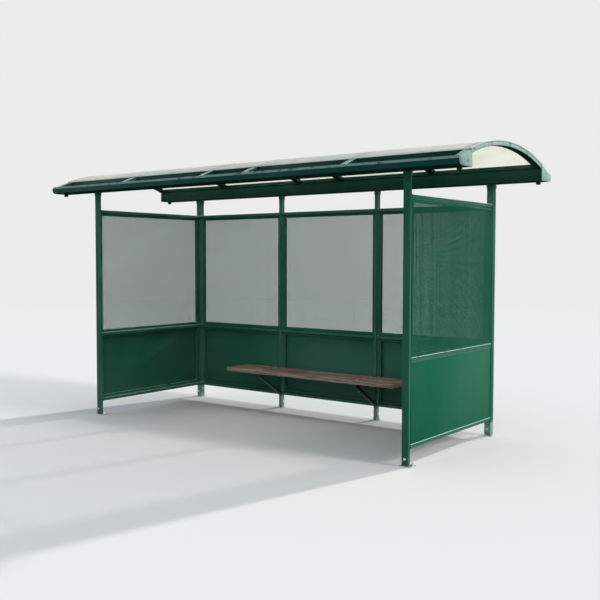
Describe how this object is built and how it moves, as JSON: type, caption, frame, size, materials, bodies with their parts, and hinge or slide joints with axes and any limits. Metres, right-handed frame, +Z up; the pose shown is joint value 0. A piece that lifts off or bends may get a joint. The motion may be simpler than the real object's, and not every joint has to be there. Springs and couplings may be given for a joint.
{
  "type": "bus shelter",
  "caption": "Open-fronted waiting shelter of steel tube with perforated and solid wall panels, a bench and an arched translucent roof between gutters.",
  "frame": {"origin": "on the ground, under the middle of the roof", "axes": "+X along the shelter, to the right seen from its open front; +Y to the back wall; +Z up"},
  "size_m": [4.5, 1.69, 2.4473],
  "materials": {
    "green_paint": "semi-gloss paint on steel",
    "dark_paint": "semi-gloss paint on steel",
    "galvanised_steel": "dull zinc",
    "opal_sheet": "translucent sheet, satin",
    "strip_metal": "mill finish",
    "weathered_wood": "weathered boards"
  },
  "bodies": {
    "root": {"back_frame_post_left": "green_paint", "back_frame_post_right": "green_paint", "back_middle_post_left": "green_paint", "back_middle_post_right": "green_paint", "base_shoes": "galvanised_steel", "bench_bracket_left": "dark_paint", "bench_bracket_right": "dark_paint", "bottom_rail_back": "green_paint", "bottom_rail_left": "green_paint", "bottom_rail_right": "green_paint", "corner_post_left": "green_paint", "corner_post_right": "green_paint", "edge_rail_back": "green_paint", "edge_rail_front": "green_paint", "front_post_left": "green_paint", "front_post_right": "green_paint", "gutter_back": "green_paint", "gutter_cleats": "green_paint", "gutter_end_plates": "green_paint", "gutter_front": "green_paint", "mesh_panel_back_left": "green_paint", "mesh_panel_back_middle": "green_paint", "mesh_panel_back_right": "green_paint", "mesh_panel_left": "green_paint", "mesh_panel_right": "green_paint", "mid_rail_back": "green_paint", "mid_rail_left": "green_paint", "mid_rail_right": "green_paint", "roof_edge_trims": "strip_metal", "roof_rib_1": "green_paint", "roof_rib_2": "green_paint", "roof_rib_3": "green_paint", "roof_rib_4": "green_paint", "roof_rib_5": "green_paint", "roof_rib_6": "green_paint", "roof_sheet_left": "opal_sheet", "roof_sheet_middle": "opal_sheet", "roof_sheet_right": "opal_sheet", "seat_planks": "weathered_wood", "sheet_cover_strips": "strip_metal", "solid_panel_back_left": "green_paint", "solid_panel_back_middle": "green_paint", "solid_panel_back_right": "green_paint", "solid_panel_left": "green_paint", "solid_panel_right": "green_paint", "top_rail_back": "green_paint", "top_rail_left": "green_paint", "top_rail_right": "green_paint"}
  },
  "joints": []
}
